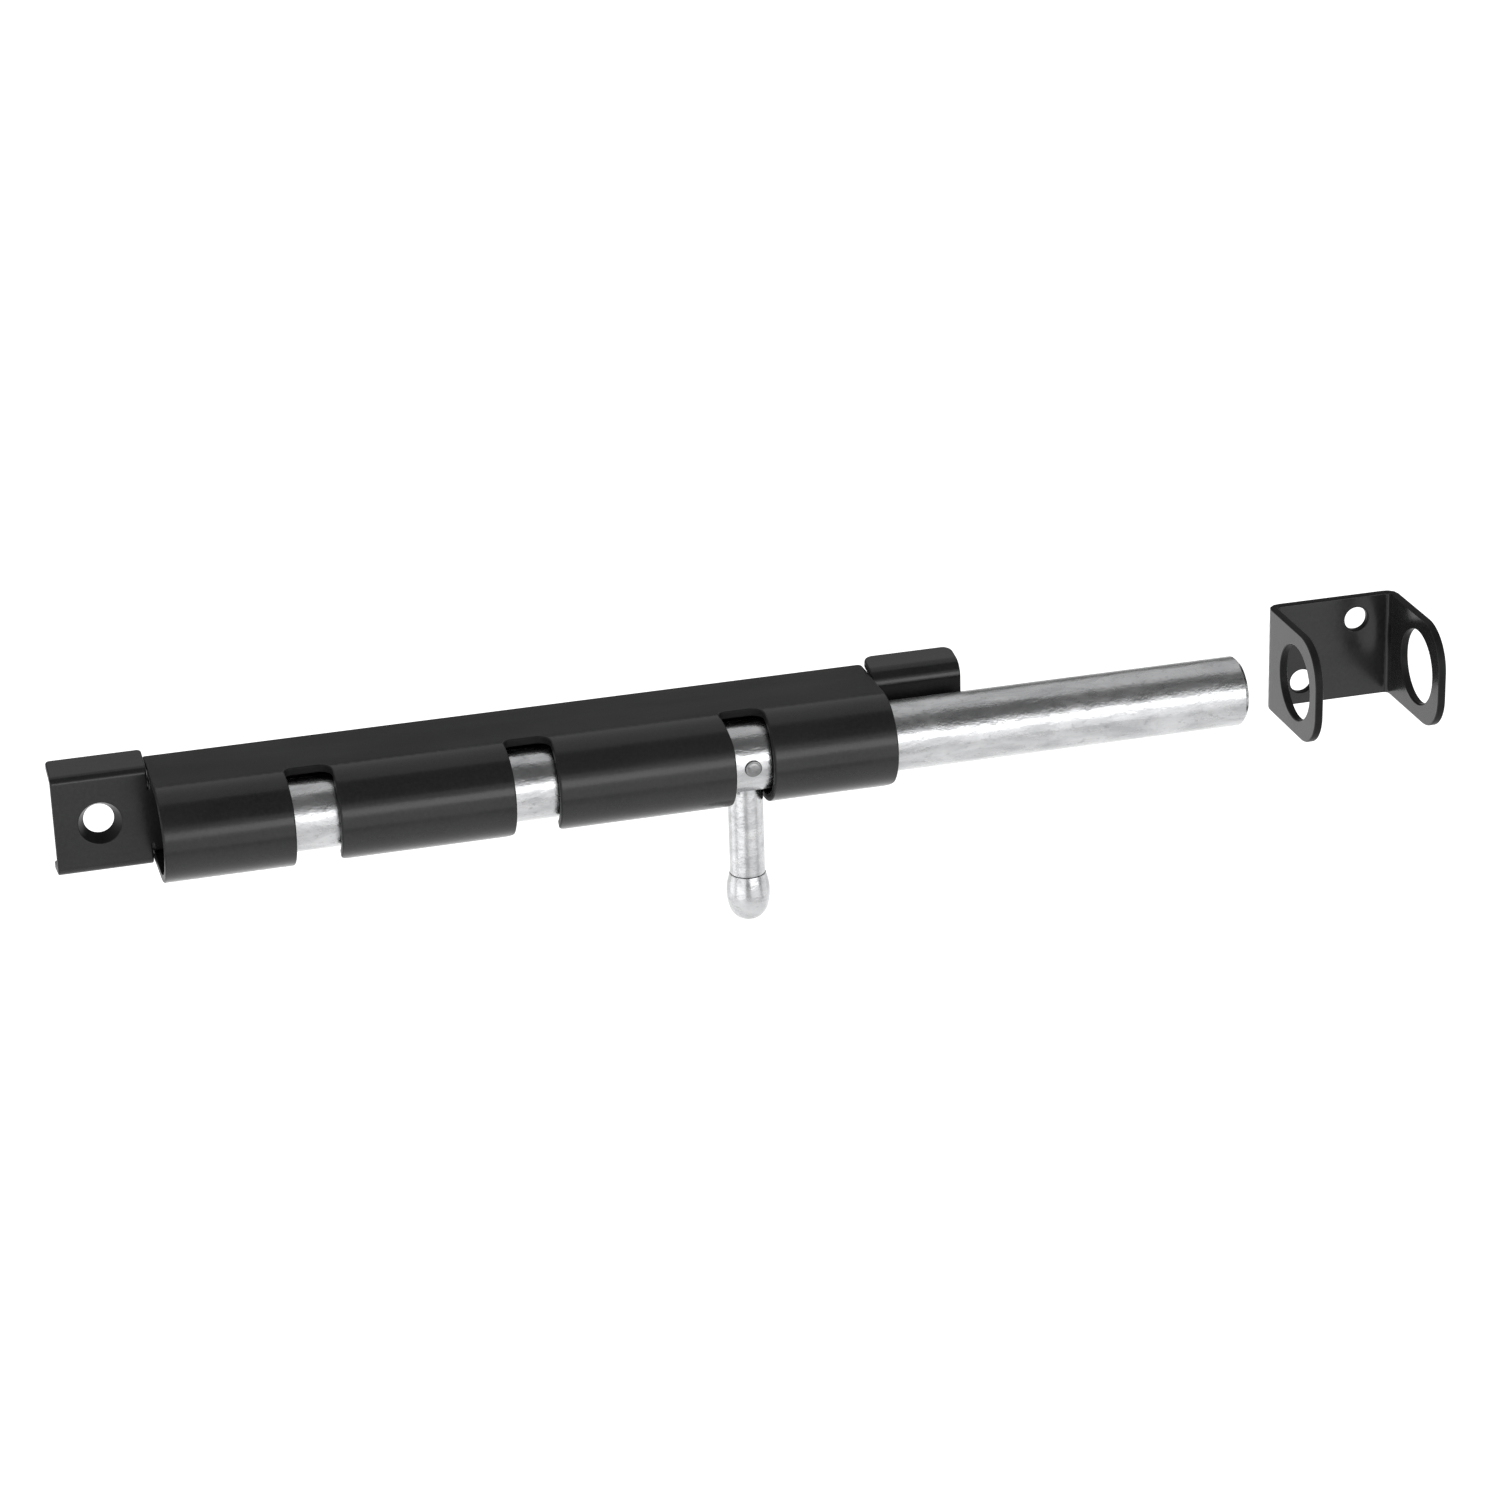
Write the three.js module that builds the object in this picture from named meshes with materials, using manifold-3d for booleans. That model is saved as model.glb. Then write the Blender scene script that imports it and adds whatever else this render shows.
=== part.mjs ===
// Toggle bolt latch: a round bolt in a slotted sleeve, with a turning handle and a separate keeper.
// Units are millimetres. X runs along the bolt towards the keeper and Z is up.
// The wall is the plane Y = 0. "out" is the distance in front of the wall, so Y = -out.
// The origin is on the wall, at the height of the bolt's axis, behind the middle of the sleeve.
import * as THREE from "three";
import { mergeVertices } from "three/addons/utils/BufferGeometryUtils.js";
import Module from "manifold-3d";

const wasm = await Module();
wasm.setup();

// Sheet metal and bolt axis
const SHEET = 1.5;
const AXIS_OUT = 14.4;

// Sleeve: a U-shaped sheet round the bolt
const SLEEVE_HALF = 65.1;
const SLEEVE_R = 8.65;
const SLOT_PITCH = 38.5;
const SLOT_HALF = 3.9;
const SLOT_TOP_OUT = 14;
const SLOT_TOP_LEFT_R = 1.4;
const SLOT_TOP_RIGHT_R = 1.8;
const SLOT_TOP_LEFT_EXTRA = 0.3;
const LONG_SLOT_BACK = 10.2;
const LONG_SLOT_FRONT = 18.0;
const MOUTH_R = 1.8;
const LAST_SLOT_TAPER = 0.9;
const END_SETBACK = 2.8;
const SLEEVE_BACK_R = 1;

// Base: a channel behind the bolt, whose ends are the screw tabs
const WEB_OUT = 6.8;
const WEB_STRIP_Z = 5.2;
const TAB_START = 65.3;
const TAB_END = 81.8;
const TAB_HALF_Z = 9;
const TAB_FLARE_Z = 10.2;
const BEND_R = 1.8;
const LEFT_BEND_R = 0.8;
const RIGHT_BEND_R = 3.2;
const LEFT_TAB_CORNER_R = 0.8;
const RIGHT_TAB_CORNER_R = 1.8;
const TAB_HOLE_X = 73.85;
const LEFT_HOLE_BACK_R = 2.55;
const LEFT_HOLE_FRONT_R = 3.85;
const RIGHT_HOLE_R = 2.5;
const COLLAR_R = 4.2;
const COLLAR_ROOT_R = 5.3;
const COLLAR_DEPTH = 2.6;

// Bolt, handle and pin
const ROD_R = 6.35;
const ROD_LEFT = -48;
const ROD_RIGHT = 132.1;
const ROD_CHAMFER = 0.7;
const HANDLE_X = 39;
const SHANK_R = 3.175;
const SHANK_END = -22.3;
const KNOB_R = 3.9;
const KNOB_LENGTH = 9.1;
const TURN_GAP = 0.3;
const PIN_R = 1.55;
const PIN_GAP = 0.05;
const PIN_HEAD = 0.35;

// Keeper: a U-shaped bracket with a round hole in each ear
const KEEPER_LEFT = 143.15;
const KEEPER_RIGHT = 168.55;
const KEEPER_HALF_Z = 10;
const EAR_OUT = 24.6;
const EAR_CORNER_R = 7.5;
const KEEPER_HOLE_R = 7;
const KEEPER_BEND_R = 2.2;
const KEEPER_SCREW_R = 2.25;
const KEEPER_SCREW_DX = 5.3;
const KEEPER_SCREW_DZ = 5.5;
const KEEPER_SCREW_SHIFT = -0.6;

const ROUND_STEPS = 72;
const HOLE_STEPS = 40;
const CORNER_STEPS = 6;
const NOSE_STEPS = 36;
// How far a cutting shape runs: right through the object, or just past a face
const FAR = 40;
const PAST = 2;
// Keeps a cut's face out of the plane of the face beside it
const HAIR = 0.001;

// Directions of a flat shape's own x, y and depth in the object
const ALONG_BOLT = new THREE.Matrix4().set(0, 0, -1, 0, -1, 0, 0, 0, 0, 1, 0, 0, 0, 0, 0, 1);
const FROM_TOP = new THREE.Matrix4().set(1, 0, 0, 0, 0, -1, 0, 0, 0, 0, -1, 0, 0, 0, 0, 1);
const ROUND_X = new THREE.Matrix4().set(0, 1, 0, 0, -1, 0, 0, 0, 0, 0, 1, 0, 0, 0, 0, 1);
const ROUND_OUT = new THREE.Matrix4().set(1, 0, 0, 0, 0, -1, 0, 0, 0, 0, -1, 0, 0, 0, 0, 1);
const ROUND_Z = new THREE.Matrix4().makeRotationX(Math.PI / 2);

function toSolid(geometry) {
  geometry.deleteAttribute("normal");
  geometry.deleteAttribute("uv");
  const merged = mergeVertices(geometry, 1e-5);
  const vertProperties = new Float32Array(merged.attributes.position.array);
  const triVerts = new Uint32Array(merged.index.array);
  return new wasm.Manifold(new wasm.Mesh({ numProp: 3, vertProperties, triVerts }));
}

function place(geometry, directions, x = 0, out = 0, z = 0) {
  const matrix = directions.clone().setPosition(x, -out, z);
  return toSolid(geometry.applyMatrix4(matrix));
}

function extrude(points, depth) {
  const shape = new THREE.Shape(points);
  return new THREE.ExtrudeGeometry(shape, { depth, bevelEnabled: false });
}

// A shape in out and z, swept from x0 to x1
function sweepX(points, x0, x1) {
  return place(extrude(points, x1 - x0), ALONG_BOLT, x1);
}

// A shape in x and out, swept from z0 to z1
function sweepZ(points, z0, z1) {
  return place(extrude(points, z1 - z0), FROM_TOP, 0, 0, z1);
}

function lathe(profile, steps) {
  const points = profile.map(([r, y]) => new THREE.Vector2(r, y));
  return new THREE.LatheGeometry(points, steps);
}

// A closed outline whose corners are [x, y, radius]
function outline(corners) {
  const points = [];
  corners.forEach(([x, y, radius = 0], i) => {
    const here = new THREE.Vector2(x, y);
    if (radius === 0) {
      points.push(here);
      return;
    }
    const before = corners[(i + corners.length - 1) % corners.length];
    const after = corners[(i + 1) % corners.length];
    const a = new THREE.Vector2(before[0], before[1]).sub(here).normalize();
    const b = new THREE.Vector2(after[0], after[1]).sub(here).normalize();
    const half = Math.acos(a.dot(b)) / 2;
    const start = here.clone().addScaledVector(a, radius / Math.tan(half));
    const end = here.clone().addScaledVector(b, radius / Math.tan(half));
    const middle = a.clone().add(b).normalize().multiplyScalar(radius / Math.sin(half)).add(here);
    const from = start.clone().sub(middle).angle();
    let turn = end.clone().sub(middle).angle() - from;
    if (turn > Math.PI) turn -= 2 * Math.PI;
    if (turn < -Math.PI) turn += 2 * Math.PI;
    for (let k = 0; k <= CORNER_STEPS; k++) {
      const angle = from + (turn * k) / CORNER_STEPS;
      points.push(new THREE.Vector2(Math.cos(angle), Math.sin(angle)).multiplyScalar(radius).add(middle));
    }
  });
  return points;
}

// Half a circle round the bolt's axis, on the side away from the wall, from z = radius downwards
function nose(radius) {
  const points = [];
  for (let k = 0; k <= NOSE_STEPS; k++) {
    const angle = Math.PI / 2 - (Math.PI * k) / NOSE_STEPS;
    points.push(new THREE.Vector2(AXIS_OUT + radius * Math.cos(angle), radius * Math.sin(angle)));
  }
  return points;
}

function rodBetween(radius, x0, x1, steps) {
  const fit = radius / Math.cos(Math.PI / steps);
  return place(lathe([[0, x0], [fit, x0], [fit, x1], [0, x1]], steps), ROUND_X, 0, AXIS_OUT);
}

function holeOut(radius, x, z) {
  return place(lathe([[0, -FAR], [radius, -FAR], [radius, FAR], [0, FAR]], HOLE_STEPS), ROUND_OUT, x, 0, z);
}

// Sleeve
const sleeveInner = SLEEVE_R - SHEET;
const sleeveProfile = [
  new THREE.Vector2(0, SLEEVE_R),
  ...nose(SLEEVE_R),
  new THREE.Vector2(0, -SLEEVE_R),
  new THREE.Vector2(0, -sleeveInner),
  ...nose(sleeveInner).reverse(),
  new THREE.Vector2(0, sleeveInner),
];

// The upper end of a cross slot, cut down from the top leg
function slotTop(x, leftShift) {
  return outline([
    [x - SLOT_HALF + leftShift, FAR],
    [x - SLOT_HALF + leftShift, AXIS_OUT + SLEEVE_R - SHEET],
    [x - SLOT_HALF - SLOT_TOP_LEFT_EXTRA, SLOT_TOP_OUT, SLOT_TOP_LEFT_R],
    [x + SLOT_HALF, SLOT_TOP_OUT, SLOT_TOP_RIGHT_R],
    [x + SLOT_HALF, FAR],
  ]);
}

// The three cross slots and the long slot that joins them, as cut from below
function lowerSlots() {
  const slots = [SLOT_PITCH, 0, -SLOT_PITCH];
  const corners = [[-SLOT_PITCH - SLOT_HALF, LONG_SLOT_BACK]];
  corners.push([SLOT_PITCH + SLOT_HALF, LONG_SLOT_BACK]);
  slots.forEach((x, i) => {
    const taper = i === 0 ? LAST_SLOT_TAPER : 0;
    if (i > 0) corners.push([x + SLOT_HALF, LONG_SLOT_FRONT, MOUTH_R]);
    corners.push([x + SLOT_HALF, FAR]);
    corners.push([x - SLOT_HALF + taper, FAR]);
    if (i < slots.length - 1) corners.push([x - SLOT_HALF + taper, LONG_SLOT_FRONT, MOUTH_R]);
  });
  return outline(corners);
}

// The lower leg stops short of the sleeve's right end, and its front corner is round
function rightEndCut() {
  const x = SLEEVE_HALF - END_SETBACK;
  return outline([
    [x, -PAST],
    [SLEEVE_HALF + PAST, -PAST],
    [SLEEVE_HALF + PAST, FAR],
    [SLEEVE_HALF + HAIR, FAR],
    [SLEEVE_HALF + HAIR, LONG_SLOT_FRONT, END_SETBACK - HAIR],
    [x, LONG_SLOT_FRONT - HAIR],
  ]);
}

// The sleeve's back corner at its right end
function backCornerCut() {
  const past = SLEEVE_HALF + PAST;
  const points = [new THREE.Vector2(past, -PAST), new THREE.Vector2(past, SLEEVE_BACK_R)];
  for (let k = 0; k <= CORNER_STEPS; k++) {
    const angle = (-Math.PI / 2) * (k / CORNER_STEPS);
    const x = SLEEVE_HALF - SLEEVE_BACK_R + SLEEVE_BACK_R * Math.cos(angle);
    points.push(new THREE.Vector2(x, SLEEVE_BACK_R + SLEEVE_BACK_R * Math.sin(angle)));
  }
  points.push(new THREE.Vector2(SLEEVE_HALF - SLEEVE_BACK_R, -PAST));
  return points;
}

let sleeve = sweepX(sleeveProfile, -SLEEVE_HALF, SLEEVE_HALF);
sleeve = sleeve.subtract(sweepZ(slotTop(-SLOT_PITCH, 0), 0, FAR));
sleeve = sleeve.subtract(sweepZ(slotTop(0, 0), 0, FAR));
sleeve = sleeve.subtract(sweepZ(slotTop(SLOT_PITCH, LAST_SLOT_TAPER), 0, FAR));
sleeve = sleeve.subtract(sweepZ(lowerSlots(), -FAR, 0));
sleeve = sleeve.subtract(sweepZ(rightEndCut(), -FAR, 0));
sleeve = sleeve.subtract(sweepZ(backCornerCut(), 0, FAR));

// Base channel
function channel(halfZ, flareZ, bend) {
  const slope = (flareZ - halfZ) / WEB_OUT;
  const wall = SHEET * Math.hypot(1, slope);
  const innerZ = halfZ + slope * SHEET - wall;
  const innerR = Math.max(bend - SHEET, 0.4);
  return outline([
    [0, flareZ],
    [WEB_OUT, halfZ, bend],
    [WEB_OUT, -halfZ, bend],
    [0, -flareZ],
    [0, -flareZ + wall],
    [WEB_OUT - SHEET, -innerZ, innerR],
    [WEB_OUT - SHEET, innerZ, innerR],
    [0, flareZ - wall],
  ]);
}

function tab(side, bend, cornerR) {
  const near = side * TAB_START;
  const end = side * TAB_END;
  const [x0, x1] = [Math.min(near, end), Math.max(near, end)];
  const blank = sweepX(channel(TAB_HALF_Z, TAB_FLARE_Z, bend), x0, x1);
  const trimmed = sweepZ(outline([[x0, 0, cornerR], [x1, 0, cornerR], [x1, FAR], [x0, FAR]]), -FAR, FAR);
  return blank.intersect(trimmed);
}

// The left tab's screw hole is pressed back into a short collar
function collar(x) {
  const back = WEB_OUT - COLLAR_DEPTH;
  const body = [
    [0, back],
    [COLLAR_R, back],
    [COLLAR_ROOT_R, WEB_OUT - SHEET],
    [COLLAR_ROOT_R, WEB_OUT - SHEET / 2],
    [0, WEB_OUT - SHEET / 2],
  ];
  return place(lathe(body, HOLE_STEPS), ROUND_OUT, x);
}

function collarHole(x) {
  const back = WEB_OUT - COLLAR_DEPTH;
  const cut = [
    [0, -FAR],
    [LEFT_HOLE_BACK_R, -FAR],
    [LEFT_HOLE_BACK_R, back],
    [LEFT_HOLE_FRONT_R, WEB_OUT],
    [LEFT_HOLE_FRONT_R, FAR],
    [0, FAR],
  ];
  return place(lathe(cut, HOLE_STEPS), ROUND_OUT, x);
}

// A flat strip of the web joins the channel inside the sleeve to both tabs
const strip = outline([
  [WEB_OUT, WEB_STRIP_Z],
  [WEB_OUT, -WEB_STRIP_Z],
  [WEB_OUT - SHEET, -WEB_STRIP_Z],
  [WEB_OUT - SHEET, WEB_STRIP_Z],
]);

let base = sweepX(channel(sleeveInner, sleeveInner, BEND_R), -TAB_START, TAB_START);
base = base.add(sweepX(strip, -TAB_HOLE_X, TAB_HOLE_X));
base = base.add(tab(-1, LEFT_BEND_R, LEFT_TAB_CORNER_R)).add(tab(1, RIGHT_BEND_R, RIGHT_TAB_CORNER_R));
base = base.add(collar(-TAB_HOLE_X)).subtract(collarHole(-TAB_HOLE_X));
base = base.subtract(holeOut(RIGHT_HOLE_R, TAB_HOLE_X, 0));

// Bolt rod
const rodProfile = [
  [0, ROD_LEFT],
  [ROD_R - ROD_CHAMFER, ROD_LEFT],
  [ROD_R, ROD_LEFT + ROD_CHAMFER],
  [ROD_R, ROD_RIGHT - ROD_CHAMFER],
  [ROD_R - ROD_CHAMFER, ROD_RIGHT],
  [0, ROD_RIGHT],
];
const rod = place(lathe(rodProfile, ROUND_STEPS), ROUND_X, 0, AXIS_OUT);

// Handle: a straight shank whose upper end follows the bolt, and a round knob below it
const shankBlank = lathe([[0, SHANK_END], [SHANK_R, SHANK_END], [SHANK_R, 0], [0, 0]], HOLE_STEPS);
const shank = place(shankBlank, ROUND_Z, HANDLE_X, AXIS_OUT).subtract(
  rodBetween(ROD_R + TURN_GAP, HANDLE_X - FAR, HANDLE_X + FAR, ROUND_STEPS),
);
const knobProfile = [
  [0, SHANK_END - KNOB_LENGTH],
  [0.34 * KNOB_R, SHANK_END - 0.985 * KNOB_LENGTH],
  [0.61 * KNOB_R, SHANK_END - 0.92 * KNOB_LENGTH],
  [0.82 * KNOB_R, SHANK_END - 0.81 * KNOB_LENGTH],
  [0.94 * KNOB_R, SHANK_END - 0.66 * KNOB_LENGTH],
  [KNOB_R, SHANK_END - 0.46 * KNOB_LENGTH],
  [KNOB_R, SHANK_END - 0.26 * KNOB_LENGTH],
  [0.94 * KNOB_R, SHANK_END - 0.12 * KNOB_LENGTH],
  [0.84 * KNOB_R, SHANK_END],
  [0, SHANK_END],
];
const knob = place(lathe(knobProfile, HOLE_STEPS), ROUND_Z, HANDLE_X, AXIS_OUT);

// Cross pin: its thin head lies on the front of the bolt
const pinOuter = ROD_R + PIN_GAP + PIN_HEAD;
const pinBlank = lathe([[0, 0], [PIN_R, 0], [PIN_R, pinOuter], [0, pinOuter]], HOLE_STEPS);
const pin = place(pinBlank, ROUND_OUT, HANDLE_X, AXIS_OUT).subtract(
  rodBetween(ROD_R + PIN_GAP, HANDLE_X - FAR, HANDLE_X + FAR, ROUND_STEPS),
);

// Keeper
const keeperMiddle = (KEEPER_LEFT + KEEPER_RIGHT) / 2;
const keeperBends = outline([
  [KEEPER_LEFT, FAR],
  [KEEPER_LEFT, 0, KEEPER_BEND_R],
  [KEEPER_RIGHT, 0, KEEPER_BEND_R],
  [KEEPER_RIGHT, FAR],
  [KEEPER_RIGHT - SHEET, FAR],
  [KEEPER_RIGHT - SHEET, SHEET, KEEPER_BEND_R - SHEET],
  [KEEPER_LEFT + SHEET, SHEET, KEEPER_BEND_R - SHEET],
  [KEEPER_LEFT + SHEET, FAR],
]);
const earProfile = outline([
  [-PAST, KEEPER_HALF_Z],
  [EAR_OUT, KEEPER_HALF_Z, EAR_CORNER_R],
  [EAR_OUT, -KEEPER_HALF_Z, EAR_CORNER_R],
  [-PAST, -KEEPER_HALF_Z],
]);
let keeper = sweepZ(keeperBends, -KEEPER_HALF_Z, KEEPER_HALF_Z);
keeper = keeper.intersect(sweepX(earProfile, KEEPER_LEFT - PAST, KEEPER_RIGHT + PAST));
keeper = keeper.subtract(rodBetween(KEEPER_HOLE_R, KEEPER_LEFT - PAST, KEEPER_RIGHT + PAST, ROUND_STEPS));
for (const side of [-1, 1]) {
  const x = keeperMiddle + KEEPER_SCREW_SHIFT + side * KEEPER_SCREW_DX;
  keeper = keeper.subtract(holeOut(KEEPER_SCREW_R, x, side * KEEPER_SCREW_DZ));
}

// Materials and the scene graph
const black = { color: 0x2c2c2d, roughness: 0.5, metalness: 0.2 };
const zinc = { color: 0xc4c6c8, roughness: 0.3, metalness: 0.9 };

function piece(name, solid, look) {
  const data = solid.getMesh();
  const geometry = new THREE.BufferGeometry();
  geometry.setAttribute("position", new THREE.BufferAttribute(new Float32Array(data.vertProperties), 3));
  geometry.setIndex(new THREE.BufferAttribute(new Uint32Array(data.triVerts), 1));
  geometry.computeVertexNormals();
  const mesh = new THREE.Mesh(geometry, new THREE.MeshStandardMaterial(look));
  mesh.name = name;
  return mesh;
}

const latch = new THREE.Group();
latch.add(
  piece("sleeve", sleeve, black),
  piece("base_channel", base, black),
  piece("bolt_rod", rod, zinc),
  piece("handle_shank", shank, zinc),
  piece("handle_knob", knob, zinc),
  piece("cross_pin", pin, zinc),
  piece("keeper", keeper, black),
);
export default latch;
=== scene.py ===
import math

import bpy
import numpy as np
from mathutils import Matrix, Vector
from mathutils.geometry import delaunay_2d_cdt


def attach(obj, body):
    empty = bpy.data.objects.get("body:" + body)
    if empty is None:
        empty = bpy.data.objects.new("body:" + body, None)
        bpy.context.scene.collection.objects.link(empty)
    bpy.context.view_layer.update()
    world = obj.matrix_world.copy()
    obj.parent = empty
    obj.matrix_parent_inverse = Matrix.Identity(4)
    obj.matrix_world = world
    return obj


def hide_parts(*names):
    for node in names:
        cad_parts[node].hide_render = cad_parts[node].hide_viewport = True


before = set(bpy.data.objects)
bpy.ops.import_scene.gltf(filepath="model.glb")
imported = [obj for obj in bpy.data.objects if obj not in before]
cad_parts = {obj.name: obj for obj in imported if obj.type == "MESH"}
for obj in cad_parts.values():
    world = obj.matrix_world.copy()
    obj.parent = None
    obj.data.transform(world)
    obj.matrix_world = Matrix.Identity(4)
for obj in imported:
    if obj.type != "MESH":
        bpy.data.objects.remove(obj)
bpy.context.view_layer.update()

# Sizes are in millimetres and are scaled to metres where a mesh is made.
# "out" is the distance in front of the wall, so Y = -out.
MM = 0.001
BLACK = "black_coated_sheet"
ZINC = "zinc_plated_steel"

HALF_SHEET = 0.75
AXIS_OUT = 14.4
EDGE = 0.32
EDGE_STEPS = 4


# ---------------------------------------------------------------- flat outlines

def rounded(corners, steps=10):
    """A closed outline from corners given as (x, y, radius)."""
    points = []
    count = len(corners)
    for i, (x, y, radius) in enumerate(corners):
        here = np.array([x, y], float)
        a = np.array(corners[i - 1][:2], float) - here
        b = np.array(corners[(i + 1) % count][:2], float) - here
        a /= np.linalg.norm(a)
        b /= np.linalg.norm(b)
        half = math.acos(float(np.clip(a @ b, -1, 1))) / 2
        start = here + a * radius / math.tan(half)
        end = here + b * radius / math.tan(half)
        middle = here + (a + b) / np.linalg.norm(a + b) * radius / math.sin(half)
        first = math.atan2(*(start - middle)[::-1])
        turn = math.atan2(*(end - middle)[::-1]) - first
        turn = (turn + math.pi) % (2 * math.pi) - math.pi
        for k in range(steps + 1):
            angle = first + turn * k / steps
            points.append(middle + radius * np.array([math.cos(angle), math.sin(angle)]))
    return np.array(points)


def circle(x, y, radius, count=64):
    angles = np.arange(count) * 2 * math.pi / count
    return np.stack([x + radius * np.cos(angles), y + radius * np.sin(angles)], axis=1)


def spaced(loop, gap):
    """The same closed loop with no step longer than gap."""
    points = []
    for a, b in zip(loop, np.roll(loop, -1, axis=0)):
        n = max(1, math.ceil(np.linalg.norm(b - a) / gap))
        points.extend(a + (b - a) * k / n for k in range(n))
    return np.array(points)


def area(loop):
    after = np.roll(loop, -1, axis=0)
    return 0.5 * float(np.sum(loop[:, 0] * after[:, 1] - loop[:, 1] * after[:, 0]))


def outward(loop):
    """Mitred directions away from the sheet, for an anticlockwise outline or a clockwise hole."""
    step = np.roll(loop, -1, axis=0) - loop
    side = np.stack([step[:, 1], -step[:, 0]], axis=1)
    side /= np.linalg.norm(side, axis=1)[:, None]
    both = side + np.roll(side, 1, axis=0)
    return both / (np.sum(both ** 2, axis=1) / 2)[:, None]


def inside(points, loop):
    hit = np.zeros(len(points), bool)
    for a, b in zip(loop, np.roll(loop, -1, axis=0)):
        cross = (a[1] > points[:, 1]) != (b[1] > points[:, 1])
        if abs(b[1] - a[1]) < 1e-12:
            continue
        x = a[0] + (points[:, 1] - a[1]) * (b[0] - a[0]) / (b[1] - a[1])
        hit ^= cross & (points[:, 0] < x)
    return hit


def in_sheet(points, loops):
    keep = inside(points, loops[0])
    for hole in loops[1:]:
        keep &= ~inside(points, hole)
    return keep


# ---------------------------------------------------------------- meshes

def make_object(name, verts, faces, normals, rim=None):
    mesh = bpy.data.meshes.new(name)
    mesh.from_pydata([tuple(v) for v in np.asarray(verts) * MM], [], faces)
    mesh.polygons.foreach_set("use_smooth", [True] * len(mesh.polygons))
    if rim is not None:
        layer = mesh.attributes.new("rim", "FLOAT", "POINT")
        layer.data.foreach_set("value", np.asarray(rim, np.float32))
    mesh.update()
    normals = np.asarray(normals)
    normals = normals / np.linalg.norm(normals, axis=1)[:, None]
    mesh.normals_split_custom_set_from_vertices([tuple(n) for n in normals])
    obj = bpy.data.objects.new(name, mesh)
    bpy.context.scene.collection.objects.link(obj)
    return obj


def surface_frame(surface, flat):
    """Places on the sheet's middle surface, its normals, and how its two flat directions lie."""
    d = 0.004
    along_x = surface(flat + (d, 0)) - surface(flat - (d, 0))
    along_y = surface(flat + (0, d)) - surface(flat - (0, d))
    along_x /= np.linalg.norm(along_x, axis=1)[:, None]
    along_y /= np.linalg.norm(along_y, axis=1)[:, None]
    normal = np.cross(along_x, along_y)
    normal /= np.linalg.norm(normal, axis=1)[:, None]
    return surface(flat), normal, along_x, along_y


def edge_profile():
    """A sheet edge with quarter-round corners, as (distance away, height) from front to back."""
    turns = [math.pi / 2 * k / EDGE_STEPS for k in range(EDGE_STEPS + 1)]
    front = [(EDGE * math.sin(t) - EDGE, HALF_SHEET - EDGE + EDGE * math.cos(t)) for t in turns]
    return front + [(away, -height) for away, height in reversed(front)]


def sheet(name, loops, surface, inner_points, profiles=None):
    """A bent sheet. loops are flat: the outline first, then its holes. A profile shapes each loop's edge."""
    profiles = profiles or [edge_profile() for _ in loops]
    loops = [loop if (area(loop) > 0) == (i == 0) else loop[::-1] for i, loop in enumerate(loops)]
    aways = [outward(loop) for loop in loops]
    insets = [loop + profile[0][0] * away for loop, away, profile in zip(loops, aways, profiles)]
    rims = np.concatenate(insets)
    inner = inner_points[in_sheet(inner_points, insets)]
    gap = np.min(np.linalg.norm(inner[:, None, :] - rims[None, ::2, :], axis=2), axis=1)
    inner = inner[gap > 0.3]
    flat = np.concatenate([rims, inner])

    edges = []
    base = 0
    for loop in loops:
        n = len(loop)
        edges.extend((base + i, base + (i + 1) % n) for i in range(n))
        base += n
    made = delaunay_2d_cdt([Vector(p) for p in flat], edges, [], 0, 1e-7)
    source = [ids[0] for ids in made[3]]
    tris = np.array([[source[i] for i in tri] for tri in made[2]])
    tris = tris[in_sheet(flat[tris].mean(axis=1), insets)]
    a, b, c = (flat[tris[:, k]] for k in range(3))
    turn = (b[:, 0] - a[:, 0]) * (c[:, 1] - a[:, 1]) - (b[:, 1] - a[:, 1]) * (c[:, 0] - a[:, 0])
    tris[turn < 0] = tris[turn < 0][:, ::-1]

    place, normal, _, _ = surface_frame(surface, flat)
    count = len(flat)
    verts = [place + HALF_SHEET * normal, place - HALF_SHEET * normal]
    normals = [normal, -normal]
    rim = [np.zeros(count), np.zeros(count)]
    faces = [tuple(int(i) for i in tri) for tri in tris]
    faces += [tuple(int(i) + count for i in tri[::-1]) for tri in tris]

    total = 2 * count
    base = 0
    for loop, away, profile in zip(loops, aways, profiles):
        n = len(loop)
        rings = [np.arange(base, base + n)]
        unit = away / np.linalg.norm(away, axis=1)[:, None]
        steps = np.gradient(np.array(profile), axis=0)
        for (reach, height), (run, rise) in list(zip(profile, steps))[1:-1]:
            p, up, ex, ey = surface_frame(surface, loop + reach * away)
            side = unit[:, :1] * ex + unit[:, 1:] * ey
            side /= np.linalg.norm(side, axis=1)[:, None]
            verts.append(p + height * up)
            length = math.hypot(run, rise)
            normals.append((run * up - rise * side) / length)
            rim.append(np.full(n, abs(rise) / length))
            rings.append(np.arange(total, total + n))
            total += n
        rings.append(np.arange(base, base + n) + count)
        for upper, lower in zip(rings, rings[1:]):
            for i in range(n):
                j = (i + 1) % n
                faces.append((int(upper[i]), int(lower[i]), int(lower[j]), int(upper[j])))
        base += n
    return make_object(name, np.concatenate(verts), faces, np.concatenate(normals), np.concatenate(rim))


def grid(x0, x1, dx, y0, y1, dy):
    xs = np.arange(x0, x1 + dx / 2, dx)
    ys = np.arange(y0, y1 + dy / 2, dy)
    gx, gy = np.meshgrid(xs, ys)
    gx[1::2] += dx / 2
    return np.stack([gx.ravel(), gy.ravel()], axis=1)


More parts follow.
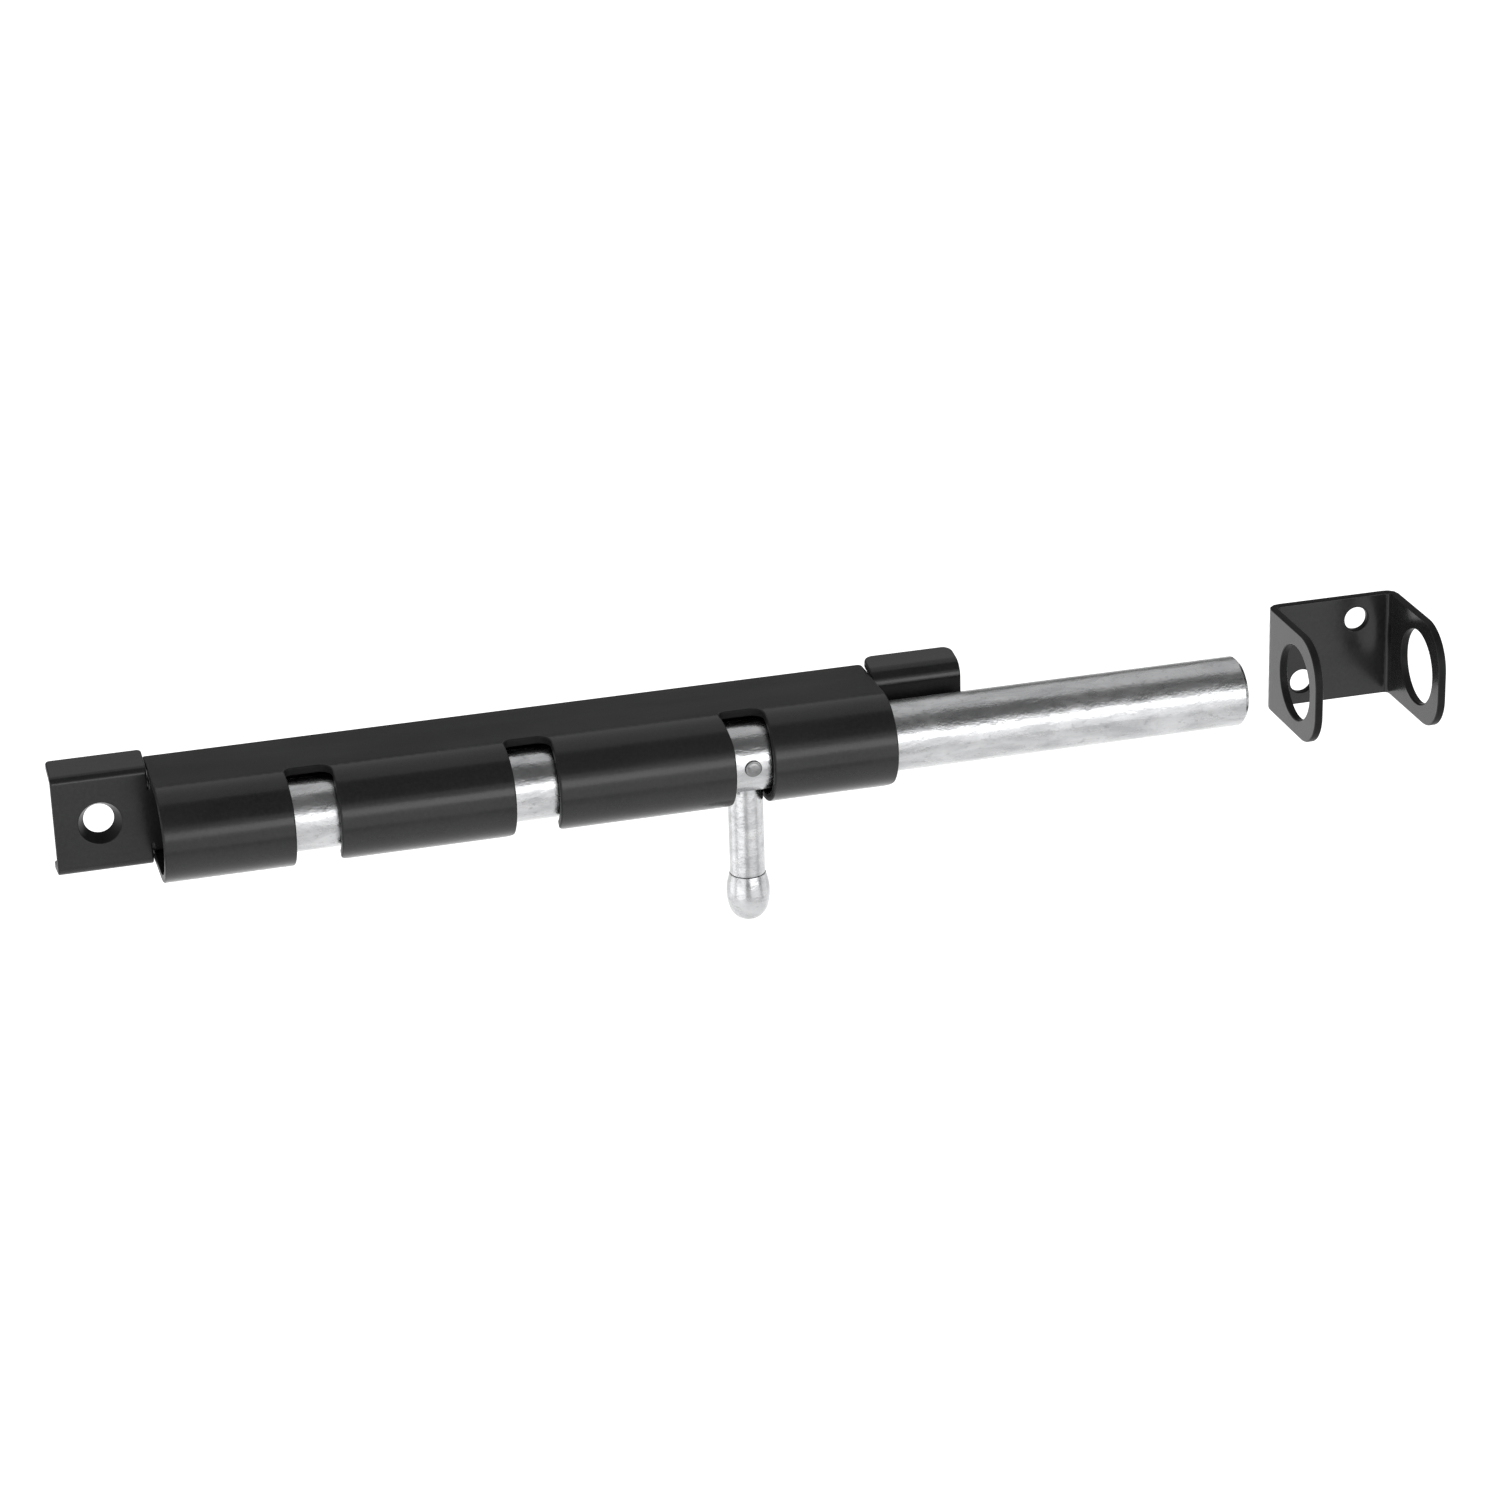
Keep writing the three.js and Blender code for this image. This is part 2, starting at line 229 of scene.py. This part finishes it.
def lathe(name, profile, place, steps=96):
    """A solid of revolution. profile is (radius, height), from one end of the axis to the other."""
    profile = np.array(profile, float)
    slope = np.gradient(profile, axis=0)
    verts, normals, faces = [], [], []
    angles = np.arange(steps) * 2 * math.pi / steps
    for (r, h), (dr, dh) in zip(profile[1:-1], slope[1:-1]):
        ring = np.stack([r * np.cos(angles), r * np.sin(angles), np.full(steps, h)], axis=1)
        length = math.hypot(dr, dh)
        lean = np.stack([dh * np.cos(angles), dh * np.sin(angles), np.full(steps, -dr)], axis=1) / length
        verts.append(ring)
        normals.append(lean)
    rows = len(verts)
    for i in range(rows - 1):
        for j in range(steps):
            k = (j + 1) % steps
            faces.append((i * steps + j, i * steps + k, (i + 1) * steps + k, (i + 1) * steps + j))
    verts.append(np.array([[0, 0, profile[0, 1]], [0, 0, profile[-1, 1]]]))
    normals.append(np.array([[0, 0, -1.0], [0, 0, 1.0]]))
    low = rows * steps
    for j in range(steps):
        k = (j + 1) % steps
        faces.append((low, k, j))
        faces.append((low + 1, (rows - 1) * steps + j, (rows - 1) * steps + k))
    verts, normals = np.concatenate(verts), np.concatenate(normals)
    turn, shift = place
    return make_object(name, verts @ turn.T + shift, faces, normals @ turn.T)


def smooth_profile(corners, radii, steps=6):
    """An open line of (radius, height) points with its inner corners rounded."""
    corners = [np.array(c, float) for c in corners]
    points = [corners[0]]
    for before, here, after, radius in zip(corners, corners[1:], corners[2:], radii):
        a = (before - here) / np.linalg.norm(before - here)
        b = (after - here) / np.linalg.norm(after - here)
        half = math.acos(float(np.clip(a @ b, -1, 1))) / 2
        reach = radius / math.tan(half)
        for k in range(steps + 1):
            t = k / steps
            p = here + a * reach * (1 - t) ** 2 + b * reach * t ** 2
            points.append(p)
    points.append(corners[-1])
    return points


ALONG_X = (np.array([[0, 0, 1], [1, 0, 0], [0, 1, 0]], float), np.array([0, -AXIS_OUT, 0]))


# ---------------------------------------------------------------- sleeve

SLEEVE_HALF = 65.1
SLEEVE_MID = 7.9
SLEEVE_OUTER = 8.65
ARC = math.pi * SLEEVE_MID
FULL = 2 * AXIS_OUT + ARC
SLOT_PITCH = 38.5
SLOT_HALF = 3.9
SLOT_TOP = 14.0
SLOT_WAIST = 22.1
LAST_SLOT_TAPER = 0.9
MOUTH_OUT = 18.35
LONG_SLOT_BACK = 10.2
END_SETBACK = 2.8
CORNER_STEPS = 10


def sleeve_surface(flat):
    """u runs from the upper leg's back edge over the nose to the lower leg's back edge."""
    x, u = flat[:, 0], flat[:, 1]
    angle = np.clip((u - AXIS_OUT) / SLEEVE_MID, 0, math.pi)
    out = AXIS_OUT + SLEEVE_MID * np.sin(angle)
    z = SLEEVE_MID * np.cos(angle)
    out = out + np.minimum(u - AXIS_OUT, 0) - np.maximum(u - AXIS_OUT - ARC, 0)
    return np.stack([x, -out, z], axis=1)


def lower_u(out):
    """u where the outer face of the nose's lower half has this distance out."""
    below = math.acos((out - AXIS_OUT) / SLEEVE_OUTER)
    return AXIS_OUT + SLEEVE_MID * (math.pi / 2 + below)


def make_sleeve():
    mouth = lower_u(MOUTH_OUT)
    back = AXIS_OUT + ARC + AXIS_OUT - LONG_SLOT_BACK
    hole = [(-SLOT_PITCH - SLOT_HALF, back, 1), (SLOT_PITCH + SLOT_HALF, back, 1)]
    for x in (SLOT_PITCH, 0, -SLOT_PITCH):
        right = x + SLOT_HALF
        left = x - SLOT_HALF
        taper = LAST_SLOT_TAPER if x == SLOT_PITCH else 0
        hole += [(right, SLOT_TOP, 2.4), (left - 0.3, SLOT_TOP, 1.3), (left + taper, SLOT_WAIST, 6)]
        if x > -SLOT_PITCH:
            hole += [(left + taper, mouth, 1.9), (right - SLOT_PITCH, mouth, 1.9)]
    # the lower leg stops short of the right end, behind a rounded front corner
    setback = SLEEVE_HALF - END_SETBACK
    first, last = lower_u(20.6), lower_u(17.6)
    corner = []
    for k in range(13):
        turn = math.pi / 2 * k / 12
        corner.append((setback + END_SETBACK * math.cos(turn), first + (last - first) * math.sin(turn)))
    front = [(-SLEEVE_HALF, 0, 0.5), (SLEEVE_HALF, 0, 1)]
    upper = rounded(front + [(SLEEVE_HALF, FULL, 0.5), (-SLEEVE_HALF, FULL, 0.5)], CORNER_STEPS)
    lower = rounded(front + [(setback, FULL, 0.5), (-SLEEVE_HALF, FULL, 0.5)], CORNER_STEPS)
    # the first two corners come from the whole sheet, and the last two from the shortened leg
    split = 2 * (CORNER_STEPS + 1)
    outline = np.array([*upper[:split], *corner, *lower[split:]])
    loops = [spaced(outline, 0.9), spaced(rounded(hole), 0.9)]
    return sheet("sleeve_sheet", loops, sleeve_surface, grid(-65, 65, 1.9, 0.2, FULL, 0.85))


# ---------------------------------------------------------------- base channel

WEB_OUT = 6.8
STRIP_HALF = 5.2
TAB_START = 65.2
TAB_END = 81.8
TAB_HOLE_X = 73.85
COLLAR_ROOT = 5.5
COLLAR_R = 4.15
LEFT_HOLE_FRONT_R = 3.85
LEFT_HOLE_BACK_R = 2.6
RIGHT_HOLE_R = 2.5
# Half height at the web, half height at the wall, and bend radius, of the tabs and the channel between
LEFT = (9.0, 10.2, 1.52)
RIGHT = (9.0, 10.2, 3.2)
MIDDLE = (7.1, 7.1, 1.8)
# A leaning flange ends this far in front of the wall, measured at mid sheet, so its corner stays clear
BACK_TRIM = 0.14


def flange(w, half_z, flare_z, bend):
    """The channel's section: z and out at a distance w from its middle line."""
    slope = (flare_z - half_z) / WEB_OUT
    lean = math.atan(slope)
    turn = math.pi / 2 - lean
    mid_bend = bend - HALF_SHEET
    # the outer faces of web and flange meet at (half_z, WEB_OUT); find the mid line's bend beside them
    reach = bend * math.tan(turn / 2)
    flat = half_z - reach
    side = np.abs(w)
    angle = np.clip((side - flat) / mid_bend, 0, turn)
    z = np.minimum(side, flat) + mid_bend * np.sin(angle)
    out = WEB_OUT - bend + mid_bend * np.cos(angle)
    rest = np.maximum(side - flat - mid_bend * turn, 0)
    z = z + rest * math.sin(lean)
    out = out - rest * math.cos(lean)
    return np.sign(w) * z, out


def flange_width(half_z, flare_z, bend):
    """How far from the middle line the flange's back edge lies, on the flat sheet."""
    low, high = 5.0, 30.0
    for _ in range(50):
        middle = (low + high) / 2
        _, out = flange(np.array([middle]), half_z, flare_z, bend)
        low, high = (middle, high) if out[0] > BACK_TRIM else (low, middle)
    return low


def base_surface(flat):
    x, w = flat[:, 0], flat[:, 1]
    z, out = flange(w, *MIDDLE)
    for side, shape in ((-1, LEFT), (1, RIGHT)):
        on_tab = side * x > (TAB_START + SLEEVE_HALF) / 2
        tab_z, tab_out = flange(w, *shape)
        z = np.where(on_tab, tab_z, z)
        out = np.where(on_tab, tab_out, out)
    return np.stack([x, -out, z], axis=1)


def bend_rows(half_z, flare_z, bend):
    """Rows of points that follow one section: fine round its bends, coarser on its flats."""
    turn = math.pi / 2 - math.atan((flare_z - half_z) / WEB_OUT)
    flat = half_z - bend * math.tan(turn / 2)
    arc = (bend - HALF_SHEET) * turn
    end = flange_width(half_z, flare_z, bend)
    rows = list(np.linspace(0, flat, 8)) + list(flat + arc * np.arange(1, 9) / 8)
    rows += list(np.linspace(flat + arc, end, 7)[1:-1])
    return sorted({round(float(v), 4) for v in rows} | {-round(float(v), 4) for v in rows})


def make_base():
    left_w, right_w, mid_w = (flange_width(*shape) for shape in (LEFT, RIGHT, MIDDLE))
    end = SLEEVE_HALF + 0.02
    upper = [
        (TAB_END, right_w, 1.8),
        (TAB_START, right_w, 1.8),
        (TAB_START, STRIP_HALF, 0.03),
        (end, STRIP_HALF, 0.03),
        (end, mid_w, 0.5),
        (-end, mid_w, 0.5),
        (-end, STRIP_HALF, 0.03),
        (-TAB_START, STRIP_HALF, 0.03),
        (-TAB_START, left_w, 0.8),
        (-TAB_END, left_w, 0.8),
    ]
    lower = [(x, -w, r) for x, w, r in reversed(upper)]
    outline = rounded(upper + lower, 6)
    rows = [bend_rows(*shape) for shape in (LEFT, MIDDLE, RIGHT)]
    spans = [(-TAB_END, -TAB_START), (-SLEEVE_HALF, SLEEVE_HALF), (TAB_START, TAB_END)]
    points = []
    for (x0, x1), own_rows in zip(spans, rows):
        for row in own_rows:
            count = max(2, int((x1 - x0) / 1.3))
            xs = np.linspace(x0, x1, count + 1)
            points.append(np.stack([xs, np.full(len(xs), row)], axis=1))
    loop = spaced(outline, 1.2)
    side_rows = {-1: rows[0], 0: rows[1], 1: rows[2]}
    parts = []
    for a, b in zip(loop, np.roll(loop, -1, axis=0)):
        parts.append(a)
        middle_x = (a[0] + b[0]) / 2
        side = 0 if abs(middle_x) < (TAB_START + SLEEVE_HALF) / 2 else int(np.sign(middle_x))
        rise = b[1] - a[1]
        if abs(rise) > 1e-6:
            at = sorted(t for t in ((row - a[1]) / rise for row in side_rows[side]) if 0.05 < t < 0.95)
            parts.extend(a + (b - a) * t for t in at)
    holes = [circle(-TAB_HOLE_X, 0, COLLAR_ROOT, 80), circle(TAB_HOLE_X, 0, RIGHT_HOLE_R, 56)]
    # the left hole's wall: a crisp front rim, a cone going back, and a short collar behind the sheet
    front = (COLLAR_ROOT - LEFT_HOLE_FRONT_R, HALF_SHEET)
    cone_end = (COLLAR_ROOT - LEFT_HOLE_BACK_R, -1.75)
    collar_end = (COLLAR_ROOT - COLLAR_R, -1.8)
    corners = [(0, HALF_SHEET), front, cone_end, collar_end, (0.35, -HALF_SHEET), (0, -HALF_SHEET)]
    wall = smooth_profile(corners, [0.22, 0.12, 0.12, 0.3])
    return sheet("base_sheet", [np.array(parts)] + holes, base_surface, np.concatenate(points),
                 [edge_profile(), wall, edge_profile()])


# ---------------------------------------------------------------- keeper

KEEPER_LEFT = 143.15
KEEPER_RIGHT = 168.55
KEEPER_X = (KEEPER_LEFT + KEEPER_RIGHT) / 2
KEEPER_BEND = 2.2
KEEPER_MID_BEND = KEEPER_BEND - HALF_SHEET
PLATE_HALF = (KEEPER_RIGHT - KEEPER_LEFT) / 2 - KEEPER_BEND
BEND_RUN = KEEPER_MID_BEND * math.pi / 2
EAR_OUT = 24.6
EAR_RUN = EAR_OUT - KEEPER_BEND
KEEPER_HALF_Z = 10
KEEPER_HOLE_R = 7
KEEPER_SCREW_R = 2.25
KEEPER_SCREW_DX = 5.3
KEEPER_SCREW_DZ = 5.5
KEEPER_SCREW_SHIFT = -0.6


def keeper_surface(flat):
    """v runs from the left ear's end, round the back plate, to the right ear's end."""
    v, z = flat[:, 0], flat[:, 1]
    side = np.abs(v)
    angle = np.clip((side - PLATE_HALF) / KEEPER_MID_BEND, 0, math.pi / 2)
    x = np.minimum(side, PLATE_HALF) + KEEPER_MID_BEND * np.sin(angle)
    out = KEEPER_BEND - KEEPER_MID_BEND * np.cos(angle) + np.maximum(side - PLATE_HALF - BEND_RUN, 0)
    return np.stack([KEEPER_X + np.sign(v) * x, -out, z], axis=1)


def make_keeper():
    end = PLATE_HALF + BEND_RUN + EAR_RUN
    half = KEEPER_HALF_Z
    outline = rounded([
        (-end, -half, 6.9),
        (end, -half, 6.9),
        (end, half, 8),
        (-end, half, 8),
    ], 16)
    hole_v = PLATE_HALF + BEND_RUN + AXIS_OUT - KEEPER_BEND
    holes = [circle(-hole_v, 0, KEEPER_HOLE_R, 96), circle(hole_v, 0, KEEPER_HOLE_R, 96)]
    for side in (-1, 1):
        x = side * KEEPER_SCREW_DX + KEEPER_SCREW_SHIFT
        holes.append(circle(x, side * KEEPER_SCREW_DZ, KEEPER_SCREW_R, 48))
    points = grid(-end, end, 0.8, -half, half, 1.1)
    return sheet("keeper_sheet", [spaced(outline, 0.9)] + holes, keeper_surface, points)


# ---------------------------------------------------------------- bolt, handle and pin

ROD_R = 6.35
ROD_ENDS = (-48.0, 132.1)
ROD_CHAMFER = 0.75
HANDLE_X = 39.0
SHANK_R = 3.175
SHANK_TOP = -4
KNOB_TOP = -22.3
PIN_LIFT = 0.03
PIN_GAP = 0.05


def make_rod():
    left, right = ROD_ENDS
    face_r = ROD_R - ROD_CHAMFER
    corners = [
        (0, left),
        (face_r, left),
        (ROD_R, left + ROD_CHAMFER),
        (ROD_R, right - ROD_CHAMFER),
        (face_r, right),
        (0, right),
    ]
    profile = smooth_profile(corners, [0.25] * 4)
    return lathe("bolt_bar", profile, ALONG_X, 144)


def make_shank():
    """The shank runs from inside the knob to inside the bolt, so that no gap shows at either end."""
    low = KNOB_TOP - 0.4
    corners = [(0, low), (SHANK_R, low), (SHANK_R, SHANK_TOP), (0, SHANK_TOP)]
    profile = smooth_profile(corners, [0.05, 0.3])
    place = (np.eye(3), np.array([HANDLE_X, -AXIS_OUT, 0]))
    return lathe("handle_bar", profile, place, 96)


def make_knob():
    line = [(0, -9.1), (1.14, -9.0), (2.1, -8.6), (2.9, -7.85), (3.45, -6.8), (3.74, -5.6), (3.9, -4.3),
            (3.9, -3.1), (3.76, -2.0), (3.5, -0.95), (3.28, -0.18), (3.19, 0.0), (0, 0)]
    points = [np.array(p) + (0, KNOB_TOP) for p in line]
    fine = [points[0]]
    for k in range(len(points) - 3):
        p0, p1, p2, p3 = points[max(k - 1, 0)], points[k], points[k + 1], points[k + 2]
        for t in (0.25, 0.5, 0.75, 1.0):
            fine.append(0.5 * (2 * p1 + (p2 - p0) * t + (2 * p0 - 5 * p1 + 4 * p2 - p3) * t ** 2
                               + (3 * p1 - p0 - 3 * p2 + p3) * t ** 3))
    fine += points[-2:]
    place = (np.eye(3), np.array([HANDLE_X, -AXIS_OUT, 0]))
    return lathe("handle_knob_shell", fine, place, 96)


def make_pin():
    """A thin round head that follows the front of the bolt, with a shallow ring near its rim."""
    rows = [(0.0, 0.30), (0.5, 0.31), (0.95, 0.30), (1.12, 0.22), (1.25, 0.30), (1.42, 0.30)]
    rows += [(1.52, 0.2), (1.55, 0.05)]
    steps = 48
    angles = np.arange(steps) * 2 * math.pi / steps
    verts, faces = [], []
    for r, height in rows[1:]:
        z = r * np.sin(angles)
        out = AXIS_OUT + np.sqrt((ROD_R + height + PIN_LIFT) ** 2 - z ** 2)
        verts.append(np.stack([HANDLE_X + r * np.cos(angles), -out, z], axis=1))
    z = rows[-1][0] * np.sin(angles)
    out = AXIS_OUT + np.sqrt((ROD_R + PIN_GAP) ** 2 - z ** 2)
    verts.append(np.stack([HANDLE_X + rows[-1][0] * np.cos(angles), -out, z], axis=1))
    rings = len(verts)
    verts = np.concatenate(verts)
    front = np.array([[HANDLE_X, -(AXIS_OUT + ROD_R + rows[0][1] + PIN_LIFT), 0]])
    back = np.array([[HANDLE_X, -(AXIS_OUT + ROD_R + PIN_GAP), 0]])
    verts = np.concatenate([verts, front, back])
    tip, rear = len(verts) - 2, len(verts) - 1
    for j in range(steps):
        k = (j + 1) % steps
        faces.append((tip, j, k))
        for i in range(rings - 1):
            faces.append((i * steps + j, (i + 1) * steps + j, (i + 1) * steps + k, i * steps + k))
        faces.append((rear, (rings - 1) * steps + k, (rings - 1) * steps + j))
    mesh = bpy.data.meshes.new("pin_head")
    mesh.from_pydata([tuple(v) for v in verts * MM], [], faces)
    mesh.polygons.foreach_set("use_smooth", [True] * len(mesh.polygons))
    obj = bpy.data.objects.new("pin_head", mesh)
    bpy.context.scene.collection.objects.link(obj)
    return obj


# ---------------------------------------------------------------- materials

class Nodes:
    """A short way to write node trees."""

    def __init__(self, name):
        self.material = bpy.data.materials.new(name)
        self.material.use_nodes = True
        self.tree = self.material.node_tree
        self.shader = self.tree.nodes["Principled BSDF"]
        self.place = self.node("ShaderNodeTexCoord").outputs["Object"]

    def node(self, kind, **values):
        made = self.tree.nodes.new(kind)
        for key, value in values.items():
            setattr(made, key, value)
        return made

    def link(self, out, socket):
        self.tree.links.new(out, socket)

    def scaled(self, x, y, z):
        mapping = self.node("ShaderNodeMapping")
        self.link(self.place, mapping.inputs["Vector"])
        mapping.inputs["Scale"].default_value = (x, y, z)
        return mapping.outputs["Vector"]

    def noise(self, scale, stretch=(1, 1, 1), detail=4, rough=0.5, distortion=0.0):
        made = self.node("ShaderNodeTexNoise")
        self.link(self.scaled(*stretch), made.inputs["Vector"])
        made.inputs["Scale"].default_value = scale
        made.inputs["Detail"].default_value = detail
        made.inputs["Roughness"].default_value = rough
        made.inputs["Distortion"].default_value = distortion
        return made.outputs["Fac"]

    def spread(self, value, low, high, to_low, to_high):
        made = self.node("ShaderNodeMapRange")
        made.clamp = True
        self.link(value, made.inputs["Value"])
        for key, number in (("From Min", low), ("From Max", high), ("To Min", to_low), ("To Max", to_high)):
            made.inputs[key].default_value = number
        return made.outputs["Result"]

    def maths(self, kind, a, b):
        made = self.node("ShaderNodeMath", operation=kind)
        for socket, value in zip(made.inputs, (a, b)):
            if isinstance(value, (int, float)):
                socket.default_value = value
            else:
                self.link(value, socket)
        return made.outputs["Value"]

    def blend(self, factor, a, b):
        made = self.node("ShaderNodeMix", data_type="RGBA")
        self.link(factor, made.inputs["Factor"])
        for key, value in (("A", a), ("B", b)):
            socket = [s for s in made.inputs if s.name == key and s.type == "RGBA"][0]
            if isinstance(value, tuple):
                socket.default_value = (*value, 1)
            else:
                self.link(value, socket)
        return [s for s in made.outputs if s.type == "RGBA"][0]

    def bump(self, height, distance, strength, below=None):
        made = self.node("ShaderNodeBump")
        made.inputs["Distance"].default_value = distance
        made.inputs["Strength"].default_value = strength
        self.link(height, made.inputs["Height"])
        if below is not None:
            self.link(below, made.inputs["Normal"])
        return made.outputs["Normal"]

    def socket(self, key, value):
        if isinstance(value, (int, float, tuple)):
            self.shader.inputs[key].default_value = value
        else:
            self.link(value, self.shader.inputs[key])


def black_coat():
    m = Nodes("black_powder_coat")
    cloud = m.noise(60, (1, 1, 1), 3)
    grain = m.noise(1500, (1, 1, 1), 2)
    drawn = m.noise(260, (0.12, 1, 1), 4)
    rim = m.node("ShaderNodeAttribute", attribute_name="rim").outputs["Fac"]
    base = m.blend(m.spread(cloud, 0.35, 0.65, 0, 1), (0.0090, 0.0090, 0.0093), (0.0130, 0.0130, 0.0133))
    base = m.blend(m.spread(grain, 0.3, 0.7, 0, 0.35), base, (0.020, 0.020, 0.0203))
    # lighter sheet rims: partly edge wear, partly a painted highlight standing in for the shine along the
    # rounded edges
    edge_wear_and_highlight = m.maths("MULTIPLY", rim, m.spread(drawn, 0.45, 0.7, 0.0, 0.4))
    m.socket("Base Color", m.blend(edge_wear_and_highlight, base, (0.022, 0.022, 0.022)))
    rough = m.maths("ADD", m.spread(cloud, 0.3, 0.7, 0.18, 0.23), m.spread(drawn, 0.3, 0.7, -0.03, 0.04))
    m.socket("Roughness", m.maths("ADD", rough, m.maths("MULTIPLY", rim, 0.12)))
    m.socket("Specular IOR Level", m.maths("SUBTRACT", 0.32, m.maths("MULTIPLY", rim, 0.28)))
    fine = m.bump(grain, 0.00004, 0.25)
    m.socket("Normal", m.bump(drawn, 0.00008, 0.2, fine))
    return m.material


def zinc_plate(name, tone):
    m = Nodes(name)
    patch = m.noise(300, (0.35, 1, 1), 5, 0.62, 0.6)
    pores = m.noise(1100, (0.7, 1, 1), 3, 0.65)
    streak = m.noise(420, (0.06, 1, 1), 4)
    low, high, pit = [tuple(tone * c for c in colour) for colour in
                      ((0.38, 0.384, 0.39), (0.54, 0.543, 0.55), (0.23, 0.23, 0.235))]
    base = m.blend(m.spread(patch, 0.35, 0.65, 0, 1), low, high)
    m.socket("Base Color", m.blend(m.spread(pores, 0.58, 0.78, 0, 0.7), base, pit))
    m.socket("Metallic", 1.0)
    rough = m.maths("ADD", m.spread(patch, 0.3, 0.7, 0.20, 0.31), m.spread(streak, 0.3, 0.7, -0.03, 0.05))
    m.socket("Roughness", rough)
    low_bump = m.bump(patch, 0.00020, 0.40)
    m.socket("Normal", m.bump(pores, 0.00010, 0.60, low_bump))
    return m.material


# ---------------------------------------------------------------- the pieces

black = black_coat()
zinc = zinc_plate("zinc_plating", 1.0)
dull = zinc_plate("dull_pin_steel", 0.42)
PIECES = [
    (make_sleeve, "sleeve", "mounted_parts", black, BLACK),
    (make_base, "base_channel", "mounted_parts", black, BLACK),
    (make_keeper, "keeper", "mounted_parts", black, BLACK),
    (make_rod, "bolt_rod", "bolt", zinc, ZINC),
    (make_shank, "handle_shank", "handle", zinc, ZINC),
    (make_knob, "handle_knob", "handle", zinc, ZINC),
    (make_pin, "cross_pin", "handle", dull, ZINC),
]
for make, node, body, material, slot in PIECES:
    piece = make()
    piece.data.materials.append(material)
    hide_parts(node)
    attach(piece, body)


# ---------------------------------------------------------------- camera, floor and light

AIM = Vector((43.90, 0, -5.30)) * MM
BACK = Vector((-0.23312893, -0.89293335, 0.38512457)).normalized()
RIGHT_WAY = Vector((0.9640493, -0.2641499, -0.028875)).normalized()
DISTANCE = 0.774764
SENSOR = 36
LENS = 103.01


def camera():
    data = bpy.data.cameras.new("camera")
    data.sensor_width = SENSOR
    data.lens = LENS
    data.clip_start = 0.05
    data.clip_end = 20
    cam = bpy.data.objects.new("camera", data)
    bpy.context.scene.collection.objects.link(cam)
    m = Matrix((RIGHT_WAY, BACK.cross(RIGHT_WAY), BACK)).transposed().to_4x4()
    m.translation = AIM + BACK * DISTANCE
    cam.matrix_world = m
    bpy.context.scene.camera = cam


def softbox(name, azimuth, elevation, distance, width, height, power):
    """A soft panel facing the object. Azimuth 0 is in front of the wall, and grows to the right."""
    data = bpy.data.lights.new(name, "AREA")
    data.shape = "RECTANGLE"
    data.size, data.size_y = width, height
    data.energy = power
    lamp = bpy.data.objects.new(name, data)
    a, e = math.radians(azimuth), math.radians(elevation)
    away = Vector((math.sin(a) * math.cos(e), -math.cos(a) * math.cos(e), math.sin(e)))
    lamp.location = Vector((0.04, 0, 0)) + away * distance
    lamp.rotation_euler = away.to_track_quat("Z", "Y").to_euler()
    bpy.context.scene.collection.objects.link(lamp)


def studio():
    world = bpy.data.worlds.new("studio")
    bpy.context.scene.world = world
    world.use_nodes = True
    tree = world.node_tree
    place = tree.nodes.new("ShaderNodeTexCoord")
    split = tree.nodes.new("ShaderNodeSeparateXYZ")
    ramp = tree.nodes.new("ShaderNodeValToRGB")
    tree.links.new(place.outputs["Generated"], split.inputs["Vector"])
    tree.links.new(split.outputs["Z"], ramp.inputs["Fac"])
    tree.links.new(ramp.outputs["Color"], tree.nodes["Background"].inputs["Color"])
    tree.nodes["Background"].inputs["Strength"].default_value = 1.0
    stops = ramp.color_ramp.elements
    stops[0].position, stops[0].color = 0.0, (0.65, 0.65, 0.65, 1)
    stops[1].position, stops[1].color = 0.3, (0.20, 0.20, 0.20, 1)

    mesh = bpy.data.meshes.new("floor")
    size, level = 40, -0.9
    mesh.from_pydata([(-size, -size, level), (size, -size, level), (size, size, level), (-size, size, level)],
                     [], [(0, 1, 2, 3)])
    floor = bpy.data.objects.new("floor", mesh)
    bpy.context.scene.collection.objects.link(floor)
    m = Nodes("pale_floor")
    m.socket("Base Color", m.blend(m.noise(2, (1, 1, 1), 2), (0.90, 0.90, 0.90), (0.92, 0.92, 0.92)))
    m.socket("Roughness", 0.9)
    m.socket("Emission Color", (1.0, 1.0, 1.0, 1.0))
    # brighter behind the object than in front of it, like a graduated backdrop
    split = m.node("ShaderNodeSeparateXYZ")
    m.link(m.place, split.inputs["Vector"])
    m.socket("Emission Strength", m.spread(split.outputs["Y"], -0.1, 0.8, 0.55, 1.05))
    mesh.materials.append(m.material)

    softbox("front_right", 24, 3, 1.3, 1.27, 1.45, 5.2)
    softbox("front_left", -52, 0.5, 1.3, 1.25, 1.35, 8.6)
    softbox("front_strip", 20, 11, 1.2, 1.05, 0.34, 3.2)
    softbox("far_left", -104, 0, 1.2, 0.8, 1.3, 3.0)
    softbox("far_right", 82, 0, 1.2, 0.8, 1.3, 2.4)
    softbox("above_behind", 0, 117, 1.4, 2.8, 1.6, 9.0)
    bpy.context.scene.view_settings.view_transform = "Standard"


camera()
studio()
